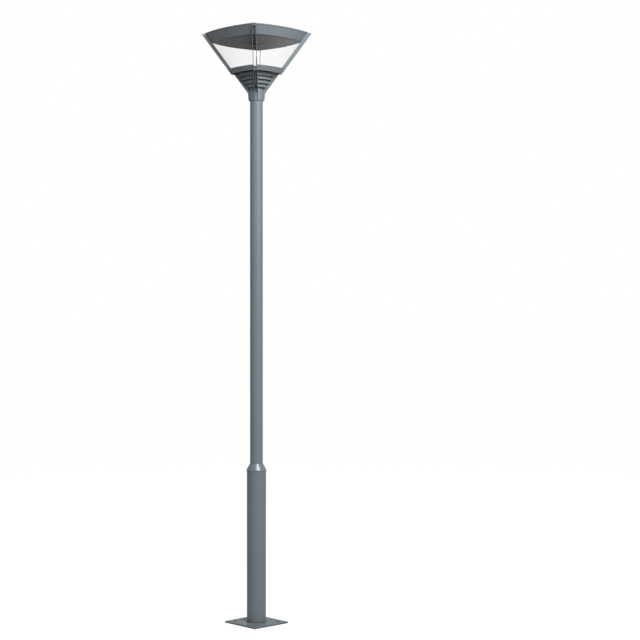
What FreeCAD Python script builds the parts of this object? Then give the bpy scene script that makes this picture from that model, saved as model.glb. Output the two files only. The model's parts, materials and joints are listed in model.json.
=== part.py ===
# Street lamp post with a four-armed lantern.
#
# Millimetres, +Z up. The origin is the centre of the base plate's underside.
# The base plate's sides run along X and Y; fins and arms stand on its diagonals.
import FreeCAD, Part
import math
import os
import re
import Sketcher

doc = FreeCAD.newDocument("StreetLampPost")
sheet = doc.addObject("Spreadsheet::Sheet", "Sizes")

# Driving dimensions: alias, value, what it is.
SIZES = [
    # base plate and post
    ("plate_side", 265, "side of the square base plate"),
    ("plate_thick", 10, "thickness of the base plate"),
    ("anchor_spacing", 180, "distance between anchor holes along a side"),
    ("anchor_radius", 11, "radius of an anchor hole"),
    ("cable_hole_radius", 35, "radius of the cable hole in the base plate"),
    ("lower_radius", 57.15, "outer radius of the lower tube"),
    ("lower_wall", 3.6, "wall of the lower tube"),
    ("lower_top", 905, "top of the lower tube"),
    ("upper_radius", 38.05, "outer radius of the upper tube"),
    ("upper_wall", 3.2, "wall of the upper tube"),
    ("upper_foot", 790, "bottom of the upper tube, inside the lower one"),
    ("upper_top", 3165, "top of the upper tube, inside the collar"),
    ("slip", 0.1, "radial clearance of a sliding fit"),
    ("lip_radius", 58.75, "outer radius of the reducer's lip"),
    ("lip_height", 8, "height of the reducer's lip"),
    ("reducer_top", 949, "top of the reducer cone"),
    ("ring_height", 20, "height of a centring ring"),
    # door and gear in the lower tube
    ("door_centre", 500, "height of the middle of the door"),
    ("door_height", 300, "height of the door opening"),
    ("door_width", 70, "width of the door opening"),
    ("door_gap", 1, "gap round the door"),
    ("seal_thick", 2, "thickness of the door seal"),
    ("seal_width", 6, "width of the door seal"),
    ("bar_thick", 6, "thickness of the lock bar"),
    ("bar_height", 20, "height of the lock bar"),
    ("bar_back", 30, "distance of the lock bar's outer face from the axis"),
    ("screw_radius", 4, "radius of the door screw's shank"),
    ("screw_head_radius", 8, "radius of the door screw's head"),
    ("screw_clearance", 0.4, "radial clearance of the door screw"),
    ("tray_face", 38, "distance of the gear tray from the axis"),
    ("tray_thick", 2, "thickness of the gear tray"),
    ("tray_width", 56, "width of the gear tray"),
    ("tray_foot", 380, "bottom of the gear tray"),
    ("tray_height", 240, "height of the gear tray"),
    ("fuse_foot", 530, "bottom of the fuse block"),
    ("fuse_height", 70, "height of the fuse block"),
    ("fuse_depth", 40, "depth of the fuse block"),
    ("fuse_width", 44, "width of the fuse block"),
    ("carrier_width", 18, "width of the fuse carrier"),
    ("carrier_height", 56, "height of the fuse carrier"),
    ("carrier_depth", 30, "depth of the fuse carrier in its block"),
    ("fuse_radius", 5, "radius of the fuse"),
    ("fuse_length", 38, "length of the fuse"),
    ("stud_radius", 4, "radius of the earth stud"),
    ("stud_length", 22, "length of the earth stud"),
    ("stud_rise", 110, "height of the earth stud above the gear tray's bottom"),
    ("cable_radius", 3.5, "radius of the riser cable"),
    # lantern foot
    ("collar_foot", 3104, "bottom of the lantern collar"),
    ("collar_top", 3187, "top of the lantern collar"),
    ("collar_radius", 42.5, "outer radius of the collar"),
    ("collar_bore", 30, "radius of the way through the collar's top"),
    ("fin_width", 24, "width of a fin and of an arm, over both cheeks"),
    ("cheek_thick", 2.5, "thickness of one cheek"),
    ("rib_thick", 3, "thickness of the rib inside a fin"),
    ("lean", 0.73, "sideways run of the fins and arms for each unit of rise"),
    ("fin_foot", 3152.7, "height where the fins leave the collar"),
    ("fin_foot_radius", 50.6, "outer edge of the fins at their foot"),
    ("fin_depth", 34, "level depth of a fin"),
    ("channel_depth", 26, "level depth of the channel in a fin"),
    ("louvre_foot", 3247, "bottom of the highest louvre"),
    ("louvre_pitch", 21.2, "distance between louvres"),
    ("louvre_height", 19.2, "height of a louvre"),
    ("louvre_half", 82.7, "half side of the highest louvre at its corners"),
    ("louvre_step", 11.3, "how much each lower louvre steps in"),
    ("louvre_swell", 0.163, "swell of a louvre's side over its half side"),
    ("louvre_wall", 3, "wall of a louvre"),
    ("louvre_bore", 46, "radius of the way through the louvres"),
    # lower ring
    ("ring_foot", 3268, "bottom of the lower ring"),
    ("ring_top", 3296.5, "top of the lower ring"),
    ("ring_half_low", 107.5, "half side of the lower ring's bottom, at its corners"),
    ("ring_mid_low", 125, "distance of the ring's side from the axis, bottom"),
    ("ring_half_high", 121.6, "half side of the lower ring's top, at its corners"),
    ("ring_mid_high", 139.5, "distance of the ring's side from the axis, top"),
    ("ring_wall", 3.5, "wall of the lower ring"),
    ("floor_foot", 3275, "underside of the ring's floor"),
    ("floor_thick", 3, "thickness of the ring's floor"),
    # arms
    ("arm_foot", 3264.6, "level bottom end of the arms"),
    ("arm_top", 3506, "level top end of the arms"),
    ("arm_radius", 149.6, "outer edge of the arms at their foot"),
    ("arm_depth", 24.4, "level depth of an arm"),
    ("bridge_depth", 8, "level depth of the bridges between an arm's cheeks"),
    ("bridge_height", 12.4, "height of the bridges between an arm's cheeks"),
    ("bracket_foot", 3456, "bottom of the arm brackets"),
    ("bracket_top", 3494, "top of the arm brackets"),
    ("bracket_recess", 13, "level distance of the brackets from the arms' outer edge"),
    ("bracket_depth", 25, "level depth of the brackets before the skirt is cut from them"),
    # panels
    ("panel_thick", 4, "thickness of the clear panels"),
    ("panel_half_low", 109, "half side of the panels' bottom, at its corners"),
    ("panel_mid_low", 135.4, "distance of the panels from the axis, bottom"),
    ("panel_half_high", 191.3, "half side of the panels' top, at its corners"),
    ("panel_mid_high", 225, "distance of the panels from the axis, top"),
    # canopy
    ("skirt_foot", 3456, "bottom of the canopy skirt"),
    ("skirt_top", 3505, "top of the canopy skirt"),
    ("skirt_half_low", 191.6, "half side of the skirt's bottom, at its corners"),
    ("skirt_mid_low", 227, "distance of the skirt's side from the axis, bottom"),
    ("skirt_half_high", 216.9, "half side of the skirt's top, at its corners"),
    ("skirt_mid_high", 249.6, "distance of the skirt's side from the axis, top"),
    ("skirt_wall", 3, "wall of the canopy skirt"),
    ("flange_width", 14, "width of the skirt's inner flanges"),
    ("flange_thick", 2.5, "thickness of the skirt's inner flanges"),
    ("plate_foot", 3456.5, "underside of the canopy's bottom plate"),
    ("under_thick", 2.5, "thickness of the canopy's bottom plate"),
    ("gasket_thick", 1.5, "thickness of the lid gasket"),
    ("lid_lip", 6, "height of the lid's edge"),
    ("lid_rise", 12, "rise of the lid above its edge"),
    ("lid_over", 1, "overhang of the lid past the skirt"),
    ("lid_wall", 2.5, "wall of the lid"),
    ("lid_crown_half", 118, "half side of the lid's flat crown"),
    ("lid_crown_mid", 146, "distance of the crown's side from the axis"),
    ("lid_screw_x", 70, "distance of a lid screw from the middle"),
    ("lid_screw_y", 235, "distance of the lid screws from the axis"),
    ("lid_screw_radius", 3, "radius of a lid screw"),
    ("lid_screw_seat", 9.8, "height of the lid screws' heads above the skirt's top"),
    ("lid_screw_reach", 6, "length of the lid screws below the skirt's top"),
    ("lid_screw_head", 1.2, "thickness of a lid screw's head"),
    ("hinge_y", 259, "distance of the hinge's axis from the post's axis"),
    ("hinge_z", 3509, "height of the hinge's axis"),
    ("knuckle_radius", 6, "outer radius of the hinge knuckles"),
    ("pin_radius", 3, "radius of the hinge pin"),
    ("knuckle_length", 30, "length of a hinge knuckle"),
    # light source
    ("window_side", 120, "side of the light opening"),
    ("pane_side", 134, "side of the light window"),
    ("pane_thick", 4, "thickness of the light window"),
    ("window_frame_side", 160, "outer side of the window frame"),
    ("window_frame_height", 11.1, "height of the window frame"),
    ("board_side", 110, "side of the LED board"),
    ("board_thick", 1.6, "thickness of the LED board"),
    ("lens_radius", 8, "radius of a lens"),
    ("lens_height", 4, "height of a lens"),
    ("lens_pitch", 32, "distance between lenses"),
    ("sink_base", 4, "thickness of the heat sink's base"),
    ("sink_fin_height", 21, "height of the heat sink's fins"),
    ("sink_fin_thick", 2.4, "thickness of a heat sink fin"),
]

# The lantern's four diagonals: name and direction from +X, in degrees.
DIAGONALS = [("front", -45), ("right", 45), ("rear", 135), ("left", 225)]
# The four sides between them.
SIDES = [("right_front", 0), ("right_rear", 90), ("left_rear", 180), ("left_front", 270)]

LOUVRE_COUNT = 4
LENS_ROWS = 3
SINK_FINS = 11

size = {}
for row, (alias, amount, meaning) in enumerate(SIZES, start=1):
    sheet.set(f"A{row}", meaning)
    sheet.set(f"B{row}", str(amount))
    sheet.setAlias(f"B{row}", alias)
    size[alias] = float(amount)
doc.recompute()

nodes = []


# ---------------------------------------------------------------- helpers

def cells(text):
    """Turn the aliases in an expression into references to the sheet."""
    def refer(word):
        name = word.group()
        return f"Sizes.{name}" if name in size else name
    return re.sub(r"[a-z][a-z_]+", refer, text)


def bind(obj, **expressions):
    """Bind properties to expressions; x, y and z are the placement's base."""
    for name, text in expressions.items():
        path = f"Placement.Base.{name}" if name in "xyz" else name
        obj.setExpression(path, cells(text))
    return obj


def node(obj, label):
    """Register a finished sub-part under its node name."""
    obj.Label = label
    nodes.append(obj)
    return obj


def turned(obj, degrees, axis=(0, 0, 1)):
    obj.Placement.Rotation = FreeCAD.Rotation(FreeCAD.Vector(*axis), degrees)
    return obj


def box(name, x, y, z, length, width, height):
    """A block with its lowest corner at x, y, z."""
    obj = doc.addObject("Part::Box", name)
    return bind(obj, Length=length, Width=width, Height=height, x=x, y=y, z=z)


def centred_box(name, length, width, height, z, x="0", y="0"):
    """A block centred on x, y and standing on z."""
    return box(name, f"{x} - ({length}) / 2", f"{y} - ({width}) / 2", z, length, width, height)


def rod(name, radius, height, x="0", y="0", z="0", axis=(0, 0, 1)):
    """A cylinder that starts at x, y, z and runs along axis."""
    obj = doc.addObject("Part::Cylinder", name)
    obj.Placement.Rotation = FreeCAD.Rotation(FreeCAD.Vector(0, 0, 1), FreeCAD.Vector(*axis))
    return bind(obj, Radius=radius, Height=height, x=x, y=y, z=z)


def cut(name, base, *tools):
    obj = doc.addObject("Part::Cut", name)
    obj.Base = base
    obj.Tool = tools[0] if len(tools) == 1 else fuse(name + "_tools", *tools)
    return obj


def common(name, base, tool):
    obj = doc.addObject("Part::Common", name)
    obj.Base = base
    obj.Tool = tool
    return obj


def fuse(name, *shapes):
    obj = doc.addObject("Part::MultiFuse", name)
    obj.Shapes = list(shapes)
    return obj


def ring(name, outer, inner, height, z):
    """An upright tube."""
    outside = rod(name + "_outside", outer, height, z=z)
    return cut(name, outside, rod(name + "_inside", inner, height, z=z))


def origin_plane(body, role):
    return next(part for part in body.Origin.OriginFeatures if part.Role == role)


def attach(sketch, body, role):
    sketch.AttachmentSupport = [(origin_plane(body, role), "")]
    sketch.MapMode = "FlatFace"


def tie(sketch, geometry, point, x, y, start=(1.0, 1.0)):
    """Hold a point of a sketch at x, y with bound distances from its origin."""
    for kind, text, value in (("DistanceX", x, start[0]), ("DistanceY", y, start[1])):
        constraint = Sketcher.Constraint(kind, -1, 1, geometry, point, value)
        number = sketch.addConstraint(constraint)
        sketch.setExpression(f"Constraints[{number}]", cells(text))


def polygon(body, name, corners, role="XZ_Plane"):
    """A closed outline of straight lines through corners, each an (x, y) pair of expressions."""
    sketch = body.newObject("Sketcher::SketchObject", name)
    attach(sketch, body, role)
    count = len(corners)
    start = [FreeCAD.Vector(math.cos(2 * math.pi * i / count), math.sin(2 * math.pi * i / count), 0)
             for i in range(count)]
    for i in range(count):
        sketch.addGeometry(Part.LineSegment(start[i], start[(i + 1) % count]), False)
    for i in range(count):
        sketch.addConstraint(Sketcher.Constraint("Coincident", i, 2, (i + 1) % count, 1))
    for i, (x, y) in enumerate(corners):
        tie(sketch, i, 1, x, y)
    return sketch


def pad(body, name, profile, length, midplane=False, kind="Pad"):
    feature = body.newObject(f"PartDesign::{kind}", name)
    feature.Profile = profile
    feature.Midplane = midplane
    bind(feature, Length=length)
    body.Tip = feature
    return feature


def turned_body(name, corners):
    """A body turned about Z from an outline of (radius, height) pairs."""
    body = doc.addObject("PartDesign::Body", name)
    profile = polygon(body, name + "_profile", corners)
    feature = body.newObject("PartDesign::Revolution", name + "_turn")
    feature.Profile = profile
    feature.ReferenceAxis = (profile, ["V_Axis"])
    feature.Angle = 360
    body.Tip = feature
    return body


def swollen_square(name, z, half, mid):
    """A square outline whose four sides swell out as arcs.

    half is the distance of the corners along X and Y, mid that of the sides' middles.
    Both are (number, expression) pairs.
    """
    half_value, half_text = half
    mid_value, mid_text = mid
    sketch = doc.addObject("Sketcher::SketchObject", name)
    swell = mid_value - half_value
    radius = (half_value ** 2 + swell ** 2) / (2 * swell)
    reach = math.asin(half_value / radius)
    for quarter in range(4):
        facing = quarter * math.pi / 2
        centre = FreeCAD.Vector(math.cos(facing), math.sin(facing), 0) * (mid_value - radius)
        circle = Part.Circle(centre, FreeCAD.Vector(0, 0, 1), radius)
        sketch.addGeometry(Part.ArcOfCircle(circle, facing - reach, facing + reach), False)
    corner_signs = [("", "-"), ("", ""), ("-", ""), ("-", "-")]
    for quarter in range(4):
        sketch.addConstraint(Sketcher.Constraint("Coincident", quarter, 2, (quarter + 1) % 4, 1))
    rise = f"(({mid_text}) - ({half_text}))"
    for quarter, (sign_x, sign_y) in enumerate(corner_signs):
        start = float(f"{sign_x}1") * half_value, float(f"{sign_y}1") * half_value
        tie(sketch, quarter, 1, f"{sign_x}({half_text})", f"{sign_y}({half_text})", start)
        number = sketch.addConstraint(Sketcher.Constraint("Radius", quarter, radius))
        expression = f"(({half_text}) ^ 2 + {rise} ^ 2) / (2 * {rise})"
        sketch.setExpression(f"Constraints[{number}]", cells(expression))
    return bind(sketch, z=z)


def offset(alias, by="0"):
    """A cell's value and expression, moved in by another cell or a sum of them."""
    taken = sum(size[word] for word in re.findall(r"[a-z_]+", by))
    return size[alias] - taken, f"{alias} - ({by})"


def flare(name, low, high):
    """A solid between two swollen squares, each (z, half, mid)."""
    loft = doc.addObject("Part::Loft", name)
    loft.Sections = [swollen_square(name + "_low", *low), swollen_square(name + "_high", *high)]
    loft.Solid = True
    loft.Ruled = True
    return loft


def outer_edge(height, shift="0"):
    """Radius of the arms' outer edge at a height."""
    return f"arm_radius + lean * ({height} - arm_foot) + ({shift})"


def fin_edge(height, shift="0"):
    """Radius of the fins' outer edge at a height."""
    return f"fin_foot_radius + lean * ({height} - fin_foot) + ({shift})"


# ---------------------------------------------------------------- post

def make_base_plate():
    body = doc.addObject("PartDesign::Body", "base_plate")
    half = "plate_side / 2"
    square = [(f"-{half}", f"-{half}"), (half, f"-{half}"), (half, half), (f"-{half}", half)]
    pad(body, "plate_pad", polygon(body, "plate_outline", square, "XY_Plane"), "plate_thick")
    holes = body.newObject("Sketcher::SketchObject", "plate_holes")
    attach(holes, body, "XY_Plane")
    places = [("0", "0", "cable_hole_radius")]
    for sign_x in ("-", ""):
        for sign_y in ("-", ""):
            places.append((f"{sign_x}anchor_spacing / 2", f"{sign_y}anchor_spacing / 2", "anchor_radius"))
    for i, (x, y, radius) in enumerate(places):
        spread = FreeCAD.Vector(60 * i, 0, 0)
        holes.addGeometry(Part.Circle(spread, FreeCAD.Vector(0, 0, 1), 10), False)
        tie(holes, i, 3, x, y)
        number = holes.addConstraint(Sketcher.Constraint("Radius", i, 10))
        holes.setExpression(f"Constraints[{number}]", cells(radius))
    pocket = pad(body, "plate_pocket", holes, "4 * plate_thick", midplane=True, kind="Pocket")
    pocket.Type = "Length"
    node(body, "base_plate")


def door_slot(name, gap):
    """The block that the door opening takes out of the -X side, less a gap all round."""
    height = f"(door_height - 2 * ({gap}))"
    width = f"(door_width - 2 * ({gap}))"
    return box(name, "-2 * lower_radius", f"-{width} / 2", f"door_centre - {height} / 2",
               "2 * lower_radius", width, height)


def make_lower_tube():
    tube = ring("lower_wall_ring", "lower_radius", "lower_radius - lower_wall",
                "lower_top - plate_thick", "plate_thick")
    node(cut("lower_tube_cut", tube, door_slot("door_opening", "0")), "lower_tube")


def make_reducer():
    bore = "upper_radius + slip"
    corners = [
        ("lower_radius - lower_wall", "lower_top"),
        ("lip_radius", "lower_top"),
        ("lip_radius", "lower_top + lip_height"),
        (f"{bore} + 1", "reducer_top"),
        (bore, "reducer_top"),
        (bore, "reducer_top - lip_height"),
        ("lower_radius - lower_wall", "lower_top + lip_height / 2"),
    ]
    node(turned_body("reducer", corners), "reducer_cone")


def make_centring_rings():
    heights = ["upper_foot + ring_height", "lower_top - 2 * ring_height"]
    rings = [ring(f"centring_{i}", "lower_radius - lower_wall", "upper_radius", "ring_height", z)
             for i, z in enumerate(heights)]
    node(fuse("centring_group", *rings), "centring_rings")


def make_upper_tube():
    node(ring("upper_wall_ring", "upper_radius", "upper_radius - upper_wall",
              "upper_top - upper_foot", "upper_foot"), "upper_tube")


# ---------------------------------------------------------------- door and gear

def door_screw_hole(name, radius):
    return rod(name, radius, "lower_radius", x="-lower_radius", z="door_centre", axis=(1, 0, 0))


def make_door():
    skin = ring("door_skin", "lower_radius", "lower_radius - lower_wall",
                "door_height", "door_centre - door_height / 2")
    leaf = common("door_leaf", skin, door_slot("door_block", "door_gap"))
    hole = door_screw_hole("door_hole", "screw_radius + screw_clearance")
    node(cut("door_cut", leaf, hole), "access_door")

    inner = "lower_radius - lower_wall"
    strip = ring("seal_skin", inner, f"{inner} - seal_thick",
                 "door_height", "door_centre - door_height / 2")
    band = common("seal_band", strip, door_slot("seal_block", "2 * door_gap"))
    node(cut("seal_cut", band, door_slot("seal_inside", "2 * door_gap + seal_width")), "door_seal")


def make_lock():
    bar = box("bar_block", "-bar_back", "-lower_radius", "door_centre - bar_height / 2",
              "bar_thick", "2 * lower_radius", "bar_height")
    inside = rod("bar_limit", "lower_radius - lower_wall", "door_height",
                 z="door_centre - door_height / 2")
    fitted = common("bar_fitted", bar, inside)
    hole = door_screw_hole("bar_hole", "screw_radius + screw_clearance")
    node(cut("bar_cut", fitted, hole), "lock_bar")

    # The screw's head sits on the door; a three-cornered socket keeps strangers out.
    head = rod("lock_head", "screw_head_radius", "4",
               x="-lower_radius - 4", z="door_centre", axis=(1, 0, 0))
    shank = rod("lock_shank", "screw_radius", "lower_radius - bar_back + bar_thick + 4",
                x="-lower_radius", z="door_centre", axis=(1, 0, 0))
    socket = doc.addObject("Part::Prism", "lock_socket")
    socket.Polygon = 3
    socket.Placement.Rotation = FreeCAD.Rotation(FreeCAD.Vector(0, 0, 1), FreeCAD.Vector(1, 0, 0))
    bind(socket, Circumradius="screw_head_radius * 0.6", Height="3",
         x="-lower_radius - 4", z="door_centre")
    screw = cut("lock_screw_cut", fuse("lock_screw_blank", head, shank), socket)
    node(screw, "door_lock_screw")


def make_gear():
    inner = "lower_radius - lower_wall"
    web = box("tray_web", "tray_face", "-tray_width / 2", "tray_foot",
              "tray_thick", "tray_width", "tray_height")
    ribs = [box(f"tray_rib_{i}", "tray_face", f"{y} - tray_thick / 2", "tray_foot",
                "lower_radius", "tray_thick", "tray_height")
            for i, y in enumerate(("-tray_width / 4", "tray_width / 4"))]
    limit = rod("tray_limit", inner, "tray_height", z="tray_foot")
    node(common("tray_common", fuse("tray_blank", web, *ribs), limit), "gear_tray")

    block = box("fuse_body", "tray_face - fuse_depth", "-fuse_width / 2", "fuse_foot",
                "fuse_depth", "fuse_width", "fuse_height")
    carrier_foot = "fuse_foot + (fuse_height - carrier_height) / 2"
    mouth = "tray_face - fuse_depth"
    pocket = box("fuse_pocket", mouth, "-carrier_width / 2 - 0.5", f"{carrier_foot} - 0.5",
                 "carrier_depth + 0.5", "carrier_width + 1", "carrier_height + 1")
    node(cut("fuse_block_cut", block, pocket), "fuse_block")

    grip = box("carrier_grip", f"{mouth} - 8", "-carrier_width / 2", carrier_foot,
               "8", "carrier_width", "carrier_height")
    drawer = box("carrier_drawer", mouth, "-carrier_width / 2", carrier_foot,
                 "carrier_depth", "carrier_width", "carrier_height")
    fuse_x = "tray_face - fuse_depth + carrier_depth / 2"
    fuse_z = "fuse_foot + (fuse_height - fuse_length) / 2"
    seat = rod("carrier_seat", "fuse_radius", "fuse_length", x=fuse_x, z=fuse_z)
    way_in = box("carrier_way_in", fuse_x, "-fuse_radius", fuse_z,
                 "carrier_depth", "2 * fuse_radius", "fuse_length")
    node(cut("carrier_cut", fuse("carrier_blank", grip, drawer), seat, way_in), "fuse_carrier")
    node(rod("fuse_rod", "fuse_radius", "fuse_length", x=fuse_x, z=fuse_z), "fuse_link")

    stud = rod("stud_rod", "stud_radius", "stud_length", x="tray_face - stud_length",
               z="tray_foot + stud_rise", axis=(1, 0, 0))
    nut = doc.addObject("Part::Prism", "stud_nut")
    nut.Polygon = 6
    nut.Placement.Rotation = FreeCAD.Rotation(FreeCAD.Vector(0, 0, 1), FreeCAD.Vector(1, 0, 0))
    bind(nut, Circumradius="2 * stud_radius", Height="6.5", x="tray_face - 6.5", z="tray_foot + stud_rise")
    node(fuse("earth_stud_fuse", stud, nut), "earth_stud")


def make_riser_cable():
    """The supply lead: up the post, out under the ring's floor, up the left arm's channel."""
    centre_shift = 17.0
    level = size["arm_foot"] + 5.6
    start = (0.0, size["fuse_foot"] + size["fuse_height"])
    corner = (0.0, level)
    foot = (size["arm_radius"] - centre_shift + size["lean"] * (level - size["arm_foot"]), level)
    rise = size["bracket_foot"] + size["cable_radius"] - level
    end = (foot[0] + size["lean"] * rise, level + rise)
    points = [start, corner, foot, end]
    wanted = [0.30 * foot[0], 40.0]
    direction = math.radians(225)

    def place(flat):
        r, z = flat
        return FreeCAD.Vector(r * math.cos(direction), r * math.sin(direction), z)

    edges = []
    length = 0.0
    last = place(start)
    for i, radius in enumerate(wanted, start=1):
        before, here, after = (place(p) for p in points[i - 1:i + 2])
        back = (before - here).normalize()
        ahead = (after - here).normalize()
        half_turn = (math.pi - back.getAngle(ahead)) / 2
        reach = radius * math.tan(half_turn)
        entry = here + back * reach
        leave = here + ahead * reach
        inward = (back + ahead).normalize()
        middle = here + inward * (radius / math.cos(half_turn) - radius)
        edges.append(Part.LineSegment(last, entry).toShape())
        edges.append(Part.Arc(entry, middle, leave).toShape())
        length += (entry - last).Length + radius * 2 * half_turn
        last = leave
        print(f"riser cable arc {i}: radius {radius:.1f} mm")
    edges.append(Part.LineSegment(last, place(end)).toShape())
    length += (place(end) - last).Length
    path = Part.Wire(edges)
    circle = Part.Circle(place(start), FreeCAD.Vector(0, 0, 1), size["cable_radius"])
    section = Part.Wire([circle.toShape()])
    tube = path.makePipeShell([section], True, True)
    expected = math.pi * size["cable_radius"] ** 2 * length
    print(f"riser cable length {length:.0f} mm, volume {tube.Volume:.0f}, expected {expected:.0f}")
    ceiling = Part.makeBox(800, 800, size["bracket_foot"], FreeCAD.Vector(-400, -400, 0))
    cable = doc.addObject("Part::Feature", "riser_cable_run")
    cable.Shape = tube.common(ceiling)
    node(cable, "riser_cable")


# ---------------------------------------------------------------- lantern foot

def set_screws(name, radius):
    """Two grub screws in the back of the collar, one above the other, between the rear fin's cheeks."""
    across = math.sqrt(0.5)
    rods = [rod(f"{name}_{i}", radius, "fin_foot_radius + 10", z=height, axis=(-across, across, 0))
            for i, height in enumerate(("collar_foot + 20", "collar_foot + 42"))]
    return fuse(name, *rods)


def make_collar():
    tube_bore = "upper_radius + slip"
    corners = [
        (tube_bore, "collar_foot"),
        ("collar_radius - 3", "collar_foot"),
        ("collar_radius", "collar_foot + 6"),
        ("collar_radius", "collar_top"),
        ("collar_bore", "collar_top"),
        ("collar_bore", "upper_top"),
        (tube_bore, "upper_top"),
    ]
    body = turned_body("collar_body", corners)
    node(cut("collar_cut", body, set_screws("collar_screw_ways", "4")), "collar")

    screws = set_screws("grub_rods", "4")
    skin = rod("grub_limit", "upper_radius", "collar_top - collar_foot", z="collar_foot")
    outside = rod("grub_outside", "collar_radius + 1", "collar_top - collar_foot", z="collar_foot")
    trimmed = common("grub_trimmed", screws, outside)
    node(cut("grub_cut", trimmed, skin), "collar_set_screws")


def fin_outline():
    foot = "collar_foot + 2"
    top = "arm_foot"
    return [
        ("collar_radius - 8", foot),
        ("collar_radius + 2", foot),
        ("collar_radius + 5", "collar_foot + 8"),
        ("fin_foot_radius", "fin_foot"),
        (fin_edge(top), top),
        (fin_edge(top, "-fin_depth"), top),
        ("collar_radius", fin_inner_start()),
        ("collar_radius - 8", "collar_top"),
    ]


def fin_inner_start():
    """Height where the fin's inner edge reaches the collar's radius."""
    return "fin_foot + (collar_radius + fin_depth - fin_foot_radius) / lean"


def fin_blank(name, angle):
    body = doc.addObject("PartDesign::Body", name)
    pad(body, name + "_pad", polygon(body, name + "_side", fin_outline()), "fin_width", midplane=True)
    return turned(body, angle)


def make_fins():
    core = rod("collar_core", "collar_radius", "collar_top - collar_foot", z="collar_foot")
    high = "arm_foot + 5"
    rib_foot = "collar_top + 9"
    for name, angle in DIAGONALS:
        body = fin_blank(f"fin_{name}_body", angle)
        channel = [
            ("collar_radius - 9", "collar_foot"),
            ("fin_foot_radius + 30", "collar_foot"),
            (fin_edge(high, "10"), high),
            (fin_edge(high, "-channel_depth"), high),
            (fin_edge("collar_top", "-channel_depth"), "collar_top"),
            ("collar_radius - 9", "collar_top"),
        ]
        sketch = polygon(body, f"fin_{name}_channel", channel)
        pad(body, f"fin_{name}_pocket", sketch, "fin_width - 2 * cheek_thick", True, "Pocket")
        rib = [
            (fin_edge(rib_foot, "-6"), rib_foot),
            (fin_edge("arm_foot", "-6"), "arm_foot"),
            (fin_edge("arm_foot", "-channel_depth - 1"), "arm_foot"),
            (fin_edge(rib_foot, "-channel_depth - 1"), rib_foot),
        ]
        pad(body, f"fin_{name}_rib", polygon(body, f"fin_{name}_rib_side", rib), "rib_thick", True)
        node(cut(f"fin_{name}_cut", body, core), f"fin_{name}")


def make_louvres():
    blanks = fuse("fin_blanks", *[fin_blank(f"blank_{name}", angle) for name, angle in DIAGONALS])
    for tier in range(LOUVRE_COUNT):
        foot = f"louvre_foot - {tier} * louvre_pitch"
        half = f"(louvre_half - {tier} * louvre_step)"
        half_value = size["louvre_half"] - tier * size["louvre_step"]
        swell = 1 + size["louvre_swell"]
        outer = (half_value, half), (half_value * swell, f"{half} * (1 + louvre_swell)")
        wall = size["louvre_wall"]
        inner = ((half_value - wall, f"{half} - louvre_wall"),
                 (half_value * swell - wall, f"{half} * (1 + louvre_swell) - louvre_wall"))
        name = f"louvre_{tier + 1}"
        shell = flare(name + "_outside", (foot, *outer), (f"{foot} + louvre_height", *outer))
        hollow = flare(name + "_inside", (f"{foot} - 1", *inner),
                       (f"{foot} + louvre_height - louvre_wall", *inner))
        way = rod(name + "_way", f"louvre_bore - {tier} * louvre_wall", "2 * louvre_height", z=foot)
        node(cut(name + "_cut", shell, hollow, way, blanks), name)


# ---------------------------------------------------------------- ring, arms, panels

def slot_blocks(name, width, inner, z, height):
    """Four blocks on the diagonals, from a radius outwards."""
    blocks = []
    for direction, angle in DIAGONALS:
        body = doc.addObject("PartDesign::Body", f"{name}_{direction}")
        half = f"({width}) / 2"
        far = "2 * arm_radius"
        outline = [(inner, f"-{half}"), (far, f"-{half}"), (far, half), (inner, half)]
        plan = polygon(body, f"{name}_{direction}_plan", outline, "XY_Plane")
        pad(body, f"{name}_{direction}_pad", plan, height)
        turned(body, angle)
        blocks.append(bind(body, z=z))
    return fuse(name, *blocks)


def make_ring():
    low = ("ring_foot", offset("ring_half_low"), offset("ring_mid_low"))
    high = ("ring_top", offset("ring_half_high"), offset("ring_mid_high"))
    shell = flare("ring_outside", low, high)
    hollow = flare("ring_inside",
                   ("ring_foot", offset("ring_half_low", "ring_wall"), offset("ring_mid_low", "ring_wall")),
                   ("ring_top", offset("ring_half_high", "ring_wall"), offset("ring_mid_high", "ring_wall")))
    floor = centred_box("ring_floor", "4 * ring_mid_high", "4 * ring_mid_high", "floor_thick", "floor_foot")
    space = cut("ring_space", hollow, floor)
    # Each arm stands in a slot, boxed in above the floor.
    slot_end = "arm_radius - arm_depth - 6"
    slots = slot_blocks("ring_slots", "fin_width", slot_end, "ring_foot - 5", "40")
    boxing = slot_blocks("ring_boxing", "fin_width + 2 * floor_thick", f"{slot_end} - floor_thick",
                         "floor_foot + floor_thick", "ring_top - floor_foot - floor_thick")
    boxed = fuse("ring_boxed", cut("ring_hollowed", shell, space), common("ring_boxes", boxing, shell))
    node(cut("ring_cut", boxed, slots), "lower_ring")


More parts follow.
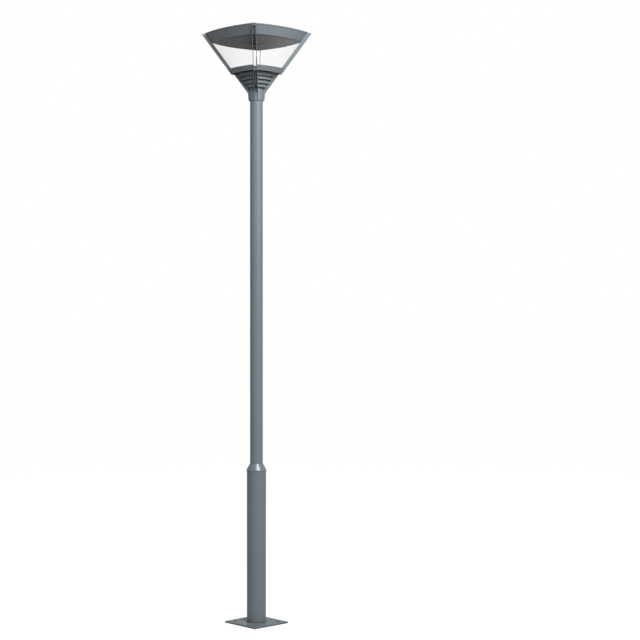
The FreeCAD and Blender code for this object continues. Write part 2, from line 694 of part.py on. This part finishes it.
def make_arms():
    inner = "-arm_depth"
    bridge = "-bridge_depth"
    past = "10"
    low = "arm_foot + bridge_height"
    high = "arm_top - bridge_height"
    under = "arm_foot - 1"
    over = "arm_top + 1"
    side = [
        (outer_edge("arm_foot", inner), "arm_foot"),
        (outer_edge("arm_foot"), "arm_foot"),
        (outer_edge("arm_top"), "arm_top"),
        (outer_edge("arm_top", inner), "arm_top"),
    ]
    gap = [
        (outer_edge(under, f"{inner} - {past}"), under),
        (outer_edge(under, bridge), under),
        (outer_edge(low, bridge), low),
        (outer_edge(low, past), low),
        (outer_edge(high, past), high),
        (outer_edge(high, bridge), high),
        (outer_edge(over, bridge), over),
        (outer_edge(over, f"{inner} - {past}"), over),
    ]
    arms = []
    for name, angle in DIAGONALS:
        body = doc.addObject("PartDesign::Body", f"arm_{name}_body")
        arms.append(body)
        pad(body, f"arm_{name}_pad", polygon(body, f"arm_{name}_side", side), "fin_width", True)
        sketch = polygon(body, f"arm_{name}_gap", gap)
        pad(body, f"arm_{name}_pocket", sketch, "fin_width - 2 * cheek_thick", True, "Pocket")
        node(turned(body, angle), f"arm_{name}")
    return fuse("arm_group", *arms)


def make_brackets(skirt_solid):
    """Blocks between each arm's cheeks that carry the canopy at its corners."""
    face = "-bracket_recess"
    back = "-bracket_recess - bracket_depth"
    side = [
        (outer_edge("bracket_foot", back), "bracket_foot"),
        (outer_edge("bracket_foot", face), "bracket_foot"),
        (outer_edge("bracket_top", face), "bracket_top"),
        (outer_edge("bracket_top", back), "bracket_top"),
    ]
    blocks = []
    for name, angle in DIAGONALS:
        body = doc.addObject("PartDesign::Body", f"bracket_{name}")
        sketch = polygon(body, f"bracket_{name}_side", side)
        pad(body, f"bracket_{name}_pad", sketch, "fin_width - 2 * cheek_thick", True)
        blocks.append(turned(body, angle))
    node(cut("bracket_cut", fuse("bracket_blocks", *blocks), skirt_solid), "arm_brackets")


def make_panels():
    low = "ring_top"
    high = "skirt_foot"
    shell = flare("panel_outside", (low, offset("panel_half_low"), offset("panel_mid_low")),
                  (high, offset("panel_half_high"), offset("panel_mid_high")))
    hollow = flare("panel_inside",
                   (low, offset("panel_half_low", "panel_thick"), offset("panel_mid_low", "panel_thick")),
                   (high, offset("panel_half_high", "panel_thick"), offset("panel_mid_high", "panel_thick")))
    slots = slot_blocks("panel_slots", "fin_width", "plate_thick", "ring_top - 5", "200")
    glass = cut("panel_ring", shell, hollow, slots)
    for name, angle in SIDES:
        sector = doc.addObject("PartDesign::Body", f"sector_{name}")
        reach = "2 * arm_radius"
        wedge = [("0", "0"), (reach, f"-({reach})"), (reach, reach)]
        plan = polygon(sector, f"sector_{name}_plan", wedge, "XY_Plane")
        pad(sector, f"sector_{name}_pad", plan, "2 * arm_top")
        node(common(f"panel_{name}_common", glass, turned(sector, angle)), f"panel_{name}")


# ---------------------------------------------------------------- canopy

def make_skirt(arms):
    low = ("skirt_foot", offset("skirt_half_low"), offset("skirt_mid_low"))
    high = ("skirt_top", offset("skirt_half_high"), offset("skirt_mid_high"))
    solid = flare("skirt_outside", low, high)
    wall = "skirt_wall"
    hollow = flare("skirt_inside",
                   ("skirt_foot", offset("skirt_half_low", wall), offset("skirt_mid_low", wall)),
                   ("skirt_top", offset("skirt_half_high", wall), offset("skirt_mid_high", wall)))
    width = "skirt_wall + flange_width"
    way = flare("skirt_way",
                ("skirt_foot - 1", offset("skirt_half_low", width), offset("skirt_mid_low", width)),
                ("skirt_top + 1", offset("skirt_half_high", width), offset("skirt_mid_high", width)))
    span = "4 * skirt_mid_high"
    flanges = [centred_box("flange_low", span, span, "flange_thick", "plate_foot + under_thick"),
               centred_box("flange_high", span, span, "flange_thick", "skirt_top - flange_thick")]
    space = cut("skirt_space", hollow, *flanges)
    ways = lid_screw_rods("skirt_screw_ways", "lid_screw_radius + 1.5", "skirt_top - 10", "20")
    node(cut("skirt_cut", solid, space, way, ways, arms), "canopy_skirt")

    # The bottom plate closes the skirt and has the light opening in its middle.
    slab = centred_box("under_slab", span, span, "under_thick", "plate_foot")
    fitted = common("under_fitted", hollow, slab)
    opening = centred_box("light_opening", "window_side", "window_side", "4 * under_thick", "plate_foot - 2")
    node(cut("under_cut", fitted, opening), "underside_plate")

    brim_outline = offset("skirt_half_high", wall), offset("skirt_mid_high", wall)
    brim = flare("gasket_outside", ("skirt_top", *brim_outline),
                 ("skirt_top + gasket_thick", *brim_outline))
    way_outline = offset("skirt_half_high", width), offset("skirt_mid_high", width)
    hole_low = ("skirt_top - 1", *way_outline)
    hole_high = ("skirt_top + gasket_thick + 1", *way_outline)
    gasket_hole = flare("gasket_inside", hole_low, hole_high)
    ways = lid_screw_rods("gasket_screw_ways", "lid_screw_radius + 1.5", "skirt_top - 10", "20")
    node(cut("gasket_cut", brim, gasket_hole, ways), "lid_gasket")
    return solid


def lid_screw_rods(name, radius, z, height):
    rods = [rod(f"{name}_{i}", radius, height, x=x, y="-lid_screw_y", z=z)
            for i, x in enumerate(("-lid_screw_x", "lid_screw_x"))]
    return fuse(name, *rods)


def make_lid():
    foot = "skirt_top + gasket_thick"
    shoulder = f"{foot} + lid_lip"
    crown = f"{shoulder} + lid_rise"
    over = size["lid_over"]
    rim_half = size["skirt_half_high"] + over, "skirt_half_high + lid_over"
    rim_mid = size["skirt_mid_high"] + over, "skirt_mid_high + lid_over"
    wall = size["lid_wall"]
    hole_half = rim_half[0] - wall, "skirt_half_high + lid_over - lid_wall"
    hole_mid = rim_mid[0] - wall, "skirt_mid_high + lid_over - lid_wall"
    edge = flare("lid_edge", (foot, rim_half, rim_mid), (shoulder, rim_half, rim_mid))
    dome = flare("lid_dome", (shoulder, rim_half, rim_mid),
                 (crown, offset("lid_crown_half"), offset("lid_crown_mid")))
    hollow = flare("lid_hollow", (f"{shoulder} - lid_wall", hole_half, hole_mid),
                   (f"{crown} - lid_wall", offset("lid_crown_half", "lid_wall"),
                    offset("lid_crown_mid", "lid_wall")))
    # The lip's underside is open inside the gasket.
    width = size["skirt_wall"] + size["flange_width"]
    open_half = size["skirt_half_high"] - width, "skirt_half_high - skirt_wall - flange_width"
    open_mid = size["skirt_mid_high"] - width, "skirt_mid_high - skirt_wall - flange_width"
    opening = flare("lid_opening", (f"{foot} - 1", open_half, open_mid),
                    (f"{shoulder} - lid_wall + 1", open_half, open_mid))
    ways = lid_screw_rods("lid_screw_ways", "lid_screw_radius + 0.3", f"{foot} - 10", "40")
    shell = cut("lid_shell", fuse("lid_blank", edge, dome), hollow, opening, ways)
    node(shell, "canopy_lid")

    # Captive screws with a wide flat head near the front edge of the lid.
    for i, (name, x) in enumerate((("left", "-lid_screw_x"), ("right", "lid_screw_x"))):
        shank = rod(f"lid_shank_{i}", "lid_screw_radius", "lid_screw_reach + lid_screw_seat",
                    x=x, y="-lid_screw_y", z="skirt_top - lid_screw_reach")
        head = rod(f"lid_head_{i}", "2 * lid_screw_radius", "lid_screw_head",
                   x=x, y="-lid_screw_y", z="skirt_top + lid_screw_seat")
        node(fuse(f"lid_screw_{name}_fuse", shank, head), f"lid_screw_{name}")


def make_hinge(skirt_solid):
    along = (1, 0, 0)
    start = "-1.5 * knuckle_length"
    pin = rod("pin_rod", "pin_radius", "3 * knuckle_length", x=start, y="hinge_y", z="hinge_z", axis=along)
    node(pin, "hinge_pin")

    def knuckle(name, x, length, bore):
        barrel = rod(name + "_barrel", "knuckle_radius", length, x=x, y="hinge_y", z="hinge_z", axis=along)
        return barrel, rod(name + "_bore", bore, length, x=x, y="hinge_y", z="hinge_z", axis=along)

    fixed = []
    for i, x in enumerate((start, "0.5 * knuckle_length")):
        barrel, bore = knuckle(f"fixed_{i}", x, "knuckle_length", "pin_radius")
        lug = box(f"fixed_lug_{i}", x, "hinge_y - knuckle_radius - 12", "hinge_z - 22",
                  "knuckle_length", "12 + knuckle_radius / 2", "18")
        fixed.append(cut(f"fixed_cut_{i}", fuse(f"fixed_blank_{i}", barrel, lug), bore, skirt_solid))
    node(fuse("hinge_fixed", *fixed), "hinge_knuckles")

    length = "knuckle_length - 1"
    barrel, bore = knuckle("lid_side", "-0.5 * knuckle_length + 0.5", length, "pin_radius + 0.05")
    # The tongue runs over the lid's edge, and stops at its outer face.
    tongue = box("lid_tongue", "-0.5 * knuckle_length + 0.5", "skirt_mid_high + lid_over",
                 "hinge_z - 2", length, "hinge_y - skirt_mid_high - lid_over", "4")
    node(cut("lid_knuckle_cut", fuse("lid_knuckle_blank", barrel, tongue), bore), "lid_knuckle")


# ---------------------------------------------------------------- light source

def make_light():
    deck = "plate_foot + under_thick"
    pane = centred_box("pane_box", "pane_side", "pane_side", "pane_thick", deck)
    node(pane, "light_window")
    frame_block = centred_box("frame_block", "window_frame_side", "window_frame_side",
                              "window_frame_height", deck)
    frame_way = centred_box("frame_way", "pane_side + 0.5", "pane_side + 0.5",
                            "window_frame_height", deck)
    node(cut("frame_cut", frame_block, frame_way), "window_frame")

    board_top = f"{deck} + window_frame_height"
    board = centred_box("board_box", "board_side", "board_side", "board_thick", f"{board_top} - board_thick")
    node(board, "led_board")
    lenses = []
    for row in range(LENS_ROWS):
        for column in range(LENS_ROWS):
            x = f"({column} - 1) * lens_pitch"
            y = f"({row} - 1) * lens_pitch"
            lens = doc.addObject("Part::Cone", f"lens_{row}_{column}")
            bind(lens, Radius1="lens_radius * 0.6", Radius2="lens_radius", Height="lens_height",
                 x=x, y=y, z=f"{board_top} - board_thick - lens_height")
            lenses.append(lens)
    node(fuse("lens_group", *lenses), "led_lenses")

    base = centred_box("sink_plate", "window_frame_side", "window_frame_side", "sink_base", board_top)
    fins = []
    for i in range(SINK_FINS):
        x = f"({i} - {(SINK_FINS - 1) / 2}) * (window_frame_side - sink_fin_thick) / {SINK_FINS - 1}"
        fins.append(centred_box(f"sink_fin_{i}", "sink_fin_thick", "window_frame_side",
                                "sink_fin_height", f"{board_top} + sink_base", x=x))
    node(fuse("sink_fuse", base, *fins), "heat_sink")


def make_canopy_gear():
    deck = "plate_foot + under_thick"
    node(centred_box("driver_box", "62", "130", "30", deck, x="-125"), "led_driver")
    node(centred_box("surge_box", "42", "60", "26", deck, x="125"), "surge_protector")
    block = centred_box("terminal_body", "60", "22", "20", deck, y="-110")
    ways = [rod(f"terminal_way_{i}", "3", "30",
                x=f"{12 * (i - 2)}", y="-125", z=f"{deck} + 9", axis=(0, 1, 0))
            for i in range(5)]
    node(cut("terminal_cut", block, *ways), "terminal_block")


# ---------------------------------------------------------------- assembly

def build():
    make_base_plate()
    make_lower_tube()
    make_reducer()
    make_centring_rings()
    make_upper_tube()
    make_door()
    make_lock()
    make_gear()
    make_riser_cable()
    make_collar()
    make_fins()
    make_louvres()
    make_ring()
    arms = make_arms()
    make_panels()
    skirt_solid = make_skirt(arms)
    make_brackets(skirt_solid)
    make_lid()
    make_hinge(skirt_solid)
    make_light()
    make_canopy_gear()


def check():
    """Stop if any object failed or any sub-part is empty or invalid."""
    doc.recompute()
    for obj in doc.Objects:
        if "Invalid" in obj.State or "Error" in obj.State:
            raise RuntimeError(f"{obj.Name} is {obj.State}: {obj.getStatusString()}")
    for obj in nodes:
        if obj.Shape.isNull() or not obj.Shape.isValid() or not obj.Shape.Solids:
            raise RuntimeError(f"{obj.Label} has no valid shape")


def write():
    os.makedirs("parts", exist_ok=True)
    for obj in nodes:
        obj.Shape.exportStep(f"parts/{obj.Label}.step")
        print(f"{obj.Label}: {len(obj.Shape.Solids)} solid(s), {obj.Shape.Volume / 1000:.1f} cm3")


build()
check()
write()
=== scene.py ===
import json
import math
import bpy
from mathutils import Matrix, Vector

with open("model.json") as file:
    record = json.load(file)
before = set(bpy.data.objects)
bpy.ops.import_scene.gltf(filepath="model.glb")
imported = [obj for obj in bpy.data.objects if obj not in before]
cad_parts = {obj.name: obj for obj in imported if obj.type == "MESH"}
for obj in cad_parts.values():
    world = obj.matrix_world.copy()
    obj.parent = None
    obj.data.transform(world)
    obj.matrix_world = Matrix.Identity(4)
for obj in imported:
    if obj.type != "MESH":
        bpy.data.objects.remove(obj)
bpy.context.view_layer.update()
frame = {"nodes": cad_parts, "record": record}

# ---------------------------------------------------------------- materials

PAINT = (0.126, 0.147, 0.160)
PAINT_DEEP = (0.118, 0.138, 0.151)
UNDERSIDE = (0.030, 0.030, 0.031)
UNDERSIDE_DEEP = (0.026, 0.026, 0.027)

# Painted shade: paint colour is darkened where surfaces face each other closer
# than this, in metres, down to this share of its colour.
PAINTED_SHADE_REACH = 0.03
PAINTED_SHADE_MIN_SHARE = 0.25


def new_material(name, **sockets):
    """A Principled material; constants go straight on the shader's own sockets."""
    material = bpy.data.materials.new(name)
    material.use_nodes = True
    shader = material.node_tree.nodes["Principled BSDF"]
    for key, value in sockets.items():
        socket = shader.inputs[key.replace("_", " ")]
        if hasattr(socket.default_value, "__len__") and len(value) == 3:
            value = (*value, 1.0)
        socket.default_value = value
    return material, shader


def add(material, kind, **settings):
    """A new node; a setting is one of its properties, or else one of its inputs."""
    node = material.node_tree.nodes.new(kind)
    for key, value in settings.items():
        if hasattr(node, key):
            setattr(node, key, value)
        else:
            node.inputs[key.replace("_", " ")].default_value = value
    return node


def join(material, source, target):
    material.node_tree.links.new(source, target)


def noise(material, scale, detail=4.0, stretch=(1, 1, 1)):
    """Noise in the object's own metres, optionally stretched along an axis."""
    place = add(material, "ShaderNodeTexCoord")
    mapping = add(material, "ShaderNodeMapping")
    mapping.inputs["Scale"].default_value = stretch
    join(material, place.outputs["Object"], mapping.inputs["Vector"])
    texture = add(material, "ShaderNodeTexNoise", Scale=scale, Detail=detail)
    join(material, mapping.outputs["Vector"], texture.inputs["Vector"])
    return texture.outputs["Fac"]


def ramp(material, source, low, high, start=0.3, end=0.7):
    """Map a value to a colour between low and high."""
    node = add(material, "ShaderNodeValToRGB")
    node.color_ramp.elements[0].position = start
    node.color_ramp.elements[0].color = (*low, 1.0)
    node.color_ramp.elements[1].position = end
    node.color_ramp.elements[1].color = (*high, 1.0)
    join(material, source, node.inputs["Fac"])
    return node.outputs["Color"]


def spread(material, source, low, high):
    """Map a value from 0 to 1 to one from low to high."""
    node = add(material, "ShaderNodeMapRange")
    node.inputs["To Min"].default_value = low
    node.inputs["To Max"].default_value = high
    join(material, source, node.inputs["Value"])
    return node.outputs["Result"]


def bump(material, shader, source, strength, distance):
    """Raise a surface by a value, as a change of its normal."""
    node = add(material, "ShaderNodeBump", Strength=strength, Distance=distance)
    join(material, source, node.inputs["Height"])
    join(material, node.outputs["Normal"], shader.inputs["Normal"])


def paint_crevice_shade(material, colour, reach, floor):
    """Painted shade: darken a colour where surfaces face each other closer than reach."""
    shade = add(material, "ShaderNodeAmbientOcclusion", samples=12)
    shade.inputs["Distance"].default_value = reach
    mix = add(material, "ShaderNodeMix", data_type="RGBA", blend_type="MULTIPLY")
    mix.inputs["Factor"].default_value = 1.0
    join(material, colour, mix.inputs["A"])
    grey = ramp(material, shade.outputs["AO"], (floor, floor, floor), (1.0, 1.0, 1.0), 0.1, 0.8)
    join(material, grey, mix.inputs["B"])
    return mix.outputs["Result"]


def powder_coat(name, light, deep, roughness, sheen=0.5):
    """Powder coat: fine orange peel, faint cloudiness in colour and gloss; painted crevice
    shade.
    """
    material, shader = new_material(name, Metallic=0.0, Specular_IOR_Level=sheen)
    cloud = noise(material, 3.5, 5.0)
    colour = ramp(material, cloud, deep, light)
    # Painted shade darkens the colour where surfaces face each other closely.
    painted_shade_colour = paint_crevice_shade(material, colour, PAINTED_SHADE_REACH, PAINTED_SHADE_MIN_SHARE)
    join(material, painted_shade_colour, shader.inputs["Base Color"])
    gloss = noise(material, 11.0, 3.0)
    rough = spread(material, gloss, roughness - 0.03, roughness + 0.04)
    join(material, rough, shader.inputs["Roughness"])
    peel = noise(material, 900.0, 2.0)
    bump(material, shader, peel, 0.04, 0.0001)
    return material


def metal(name, light, deep, roughness, grain=(1, 1, 1), scale=60.0):
    """Bare or plated metal with a grain that runs along one axis."""
    material, shader = new_material(name, Metallic=1.0)
    lines = noise(material, scale, 6.0, grain)
    join(material, ramp(material, lines, deep, light), shader.inputs["Base Color"])
    rough = spread(material, lines, roughness - 0.06, roughness + 0.08)
    join(material, rough, shader.inputs["Roughness"])
    bump(material, shader, lines, 0.15, 0.0002)
    return material


def moulded(name, light, deep, roughness, scale=400.0, depth=0.0002):
    """Moulded plastic or rubber with a fine grain."""
    material, shader = new_material(name, Metallic=0.0)
    cloud = noise(material, 8.0, 4.0)
    join(material, ramp(material, cloud, deep, light), shader.inputs["Base Color"])
    grain = noise(material, scale, 2.0)
    rough = spread(material, grain, roughness - 0.04, roughness + 0.06)
    join(material, rough, shader.inputs["Roughness"])
    bump(material, shader, grain, 0.2, depth)
    return material


def clear(name, tint, facing_alpha, edge_alpha, sheen=0.5, ior=1.49):
    """Clear sheet: nearly unseen face on, a little milky at a glancing angle."""
    material, shader = new_material(name, Roughness=0.05, IOR=ior, Specular_IOR_Level=sheen)
    smear = noise(material, 5.0, 4.0)
    dull = tuple(0.97 * channel for channel in tint)
    join(material, ramp(material, smear, dull, tint), shader.inputs["Base Color"])
    facing = add(material, "ShaderNodeLayerWeight", Blend=0.25)
    alpha = spread(material, facing.outputs["Facing"], facing_alpha, edge_alpha)
    join(material, alpha, shader.inputs["Alpha"])
    wave = noise(material, 14.0, 2.0)
    bump(material, shader, wave, 0.02, 0.001)
    return material


MATERIALS = {
    "post_paint": powder_coat("post_paint", PAINT, PAINT_DEEP, 0.30),
    "underside_paint": powder_coat("underside_paint", UNDERSIDE, UNDERSIDE_DEEP, 0.62, 0.25),
    "clear_panel": clear("clear_panel", (0.97, 0.98, 0.98), 0.01, 0.20, 0.3),
    "steel": metal("steel", (0.62, 0.62, 0.63), (0.52, 0.52, 0.53), 0.30, (1, 1, 8)),
    "zinc_steel": metal("zinc_steel", (0.66, 0.67, 0.68), (0.52, 0.53, 0.55), 0.42),
    "aluminium": metal("aluminium", (0.78, 0.79, 0.80), (0.70, 0.71, 0.72), 0.35, (10, 1, 1)),
    "black_rubber": moulded("black_rubber", (0.030, 0.030, 0.031), (0.020, 0.020, 0.021), 0.70),
    "cable_jacket": moulded("cable_jacket", (0.035, 0.035, 0.037), (0.024, 0.024, 0.026), 0.50),
    "white_plastic": moulded("white_plastic", (0.76, 0.76, 0.74), (0.70, 0.70, 0.68), 0.45),
    "grey_plastic": moulded("grey_plastic", (0.27, 0.28, 0.29), (0.23, 0.24, 0.25), 0.48),
    "brass": metal("brass", (0.80, 0.62, 0.30), (0.66, 0.50, 0.22), 0.28),
    "ceramic": moulded("ceramic", (0.84, 0.83, 0.80), (0.80, 0.79, 0.76), 0.22, 120.0, 0.0001),
    "board_white": moulded("board_white", (0.82, 0.84, 0.82), (0.78, 0.80, 0.78),
                           0.40, 300.0, 0.0001),
    "lens_clear": clear("lens_clear", (0.94, 0.95, 0.95), 0.30, 0.70),
    "window_glass": clear("window_glass", (0.010, 0.010, 0.011), 0.95, 0.98, 0.04, 1.12),
}


def paint_frame():
    """Give every CAD node the finish of its own material slot."""
    slots = {part["node"]: part["material_slot"] for part in frame["record"]["subparts"]}
    for name, obj in frame["nodes"].items():
        obj.data.materials.clear()
        obj.data.materials.append(MATERIALS[slots[name]])


# ---------------------------------------------------------------- stage and camera

CAMERA_AZIMUTH = math.radians(47.7)
CAMERA_DISTANCE = 8.81
CAMERA_HEIGHT = 1.803
CAMERA_LENS = 83.25
CAMERA_SHIFT = 0.0993

# The sky and floor look white, and light the post with less than that.
SKY_LIGHT = 0.42
FLOOR_LIGHT = 0.32
FLOOR_WHITE = 0.90
FLOOR_SIDE = 600.0
FLOOR_DROP = 0.0005
# Painted shade under the base plate: the dark sheet's side and drop, in metres.
HOLE_SHADE_SIDE = 0.24
HOLE_SHADE_DROP = 0.0002

# Name, azimuth and elevation in degrees, distance, height aimed at, width and
# height in metres, and power in watts.
LIGHTS = [
    ("key", 87.7, 30, 7.0, 0.9, 1.6, 5.0, 105),
    ("top", 73, 50, 6.0, 0.9, 3.0, 1.6, 390),
]


def make_stage():
    """A seamless white floor, and a dark sheet of painted shade under the base plate."""
    bpy.ops.mesh.primitive_plane_add(size=FLOOR_SIDE, location=(0, 0, -FLOOR_DROP))
    floor = bpy.context.object
    floor.name = "floor"
    material, shader = new_material("floor", Roughness=0.9, Specular_IOR_Level=0.0,
                                    Emission_Color=(1.0, 1.0, 1.0))
    cloud = noise(material, 0.5, 2.0)
    tone = ramp(material, cloud, (0.20, 0.20, 0.20), (0.21, 0.21, 0.21))
    join(material, tone, shader.inputs["Base Color"])
    rays = add(material, "ShaderNodeLightPath")
    glow = spread(material, rays.outputs["Is Camera Ray"], FLOOR_LIGHT, FLOOR_WHITE)
    join(material, glow, shader.inputs["Emission Strength"])
    floor.data.materials.append(material)

    # A dark sheet of painted shade under the base plate, seen through the anchor holes.
    bpy.ops.mesh.primitive_plane_add(size=HOLE_SHADE_SIDE, location=(0, 0, -HOLE_SHADE_DROP))
    hole_shade_sheet = bpy.context.object
    hole_shade_sheet.name = "hole_shade_sheet"
    hole_shade_material = moulded("hole_shade_sheet", (0.020, 0.020, 0.020), (0.014, 0.014, 0.014), 0.9)
    hole_shade_sheet.data.materials.append(hole_shade_material)


def area_light(name, azimuth, elevation, distance, target, width, height, power):
    """A soft rectangular light aimed at a height on the post."""
    data = bpy.data.lights.new(name, "AREA")
    data.shape = "RECTANGLE"
    data.size = width
    data.size_y = height
    data.energy = power
    light = bpy.data.objects.new(name, data)
    bpy.context.collection.objects.link(light)
    a, e = math.radians(azimuth), math.radians(elevation)
    away = Vector((math.sin(a) * math.cos(e), -math.cos(a) * math.cos(e), math.sin(e)))
    aim = Vector((0, 0, target))
    light.location = aim + away * distance
    light.rotation_euler = away.to_track_quat("Z", "Y").to_euler()
    return light


def make_lights():
    """A sky that is white to the camera and dimmer to the post, and the lamps."""
    world = bpy.data.worlds.new("studio")
    world.use_nodes = True
    background = world.node_tree.nodes["Background"]
    background.inputs["Color"].default_value = (1.0, 1.0, 1.0, 1.0)
    background.inputs["Strength"].default_value = 1.0
    bpy.context.scene.world = world
    rays = world.node_tree.nodes.new("ShaderNodeLightPath")
    level = world.node_tree.nodes.new("ShaderNodeMapRange")
    level.inputs["To Min"].default_value = SKY_LIGHT
    level.inputs["To Max"].default_value = 1.0
    world.node_tree.links.new(rays.outputs["Is Camera Ray"], level.inputs["Value"])
    world.node_tree.links.new(level.outputs["Result"], background.inputs["Strength"])
    for light in LIGHTS:
        area_light(*light)


def make_camera():
    data = bpy.data.cameras.new("camera")
    data.lens = CAMERA_LENS
    data.sensor_width = 36.0
    data.shift_x = CAMERA_SHIFT
    camera = bpy.data.objects.new("camera", data)
    bpy.context.collection.objects.link(camera)
    camera.location = (CAMERA_DISTANCE * math.sin(CAMERA_AZIMUTH),
                       -CAMERA_DISTANCE * math.cos(CAMERA_AZIMUTH), CAMERA_HEIGHT)
    camera.rotation_euler = (math.pi / 2, 0, CAMERA_AZIMUTH)
    bpy.context.scene.camera = camera


paint_frame()
make_stage()
make_lights()
make_camera()
bpy.context.scene.view_settings.view_transform = "Standard"
